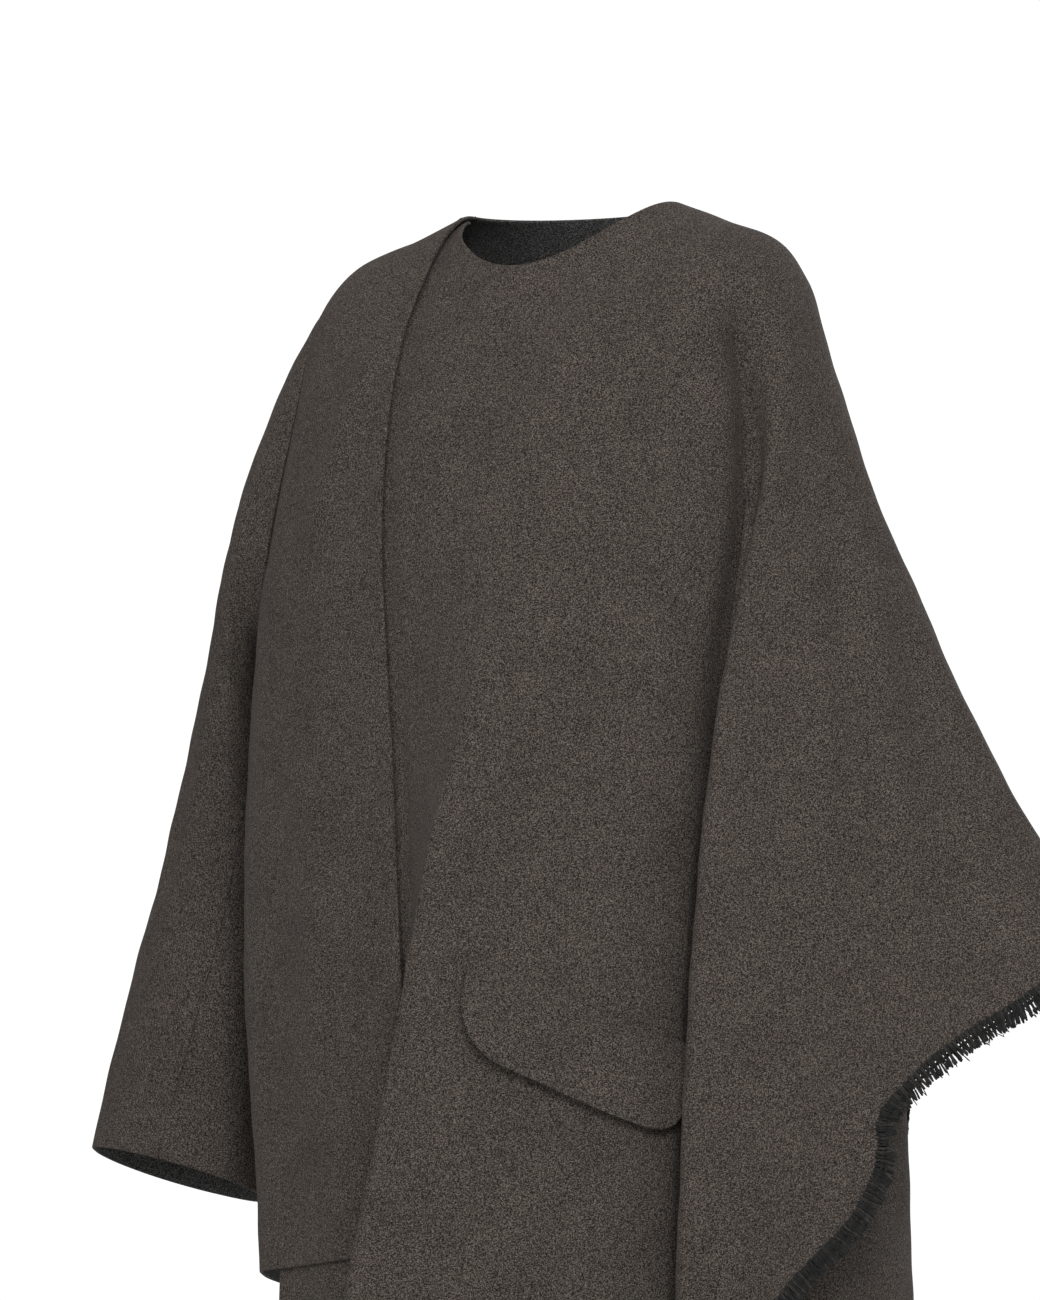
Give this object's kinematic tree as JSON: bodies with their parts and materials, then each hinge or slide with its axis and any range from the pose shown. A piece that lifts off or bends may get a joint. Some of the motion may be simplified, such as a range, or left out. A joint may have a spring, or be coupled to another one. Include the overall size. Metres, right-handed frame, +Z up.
{
  "type": "short coat with a draped wing",
  "caption": "Short wool coat, held open as worn: one sleeve, an overlapping front and a wide fringed wing over the left arm.",
  "frame": {"origin": "middle of the neck opening, level with the high points of the neckline, where the wearer holds the coat up", "axes": "+Z up, the coat's front faces -Y and the wearer's left arm is towards +X"},
  "size_m": [0.7836, 0.3651, 0.7733],
  "materials": {
    "wool_cloth": "matte",
    "fringe_yarn": "matte"
  },
  "bodies": {
    "root": {"back": "wool_cloth", "left_front": "wool_cloth", "left_side": "wool_cloth", "right_front": "wool_cloth", "right_sleeve_outer": "wool_cloth", "right_sleeve_inner": "wool_cloth", "pocket_flap": "wool_cloth", "cape_fringe": "fringe_yarn"}
  },
  "joints": []
}
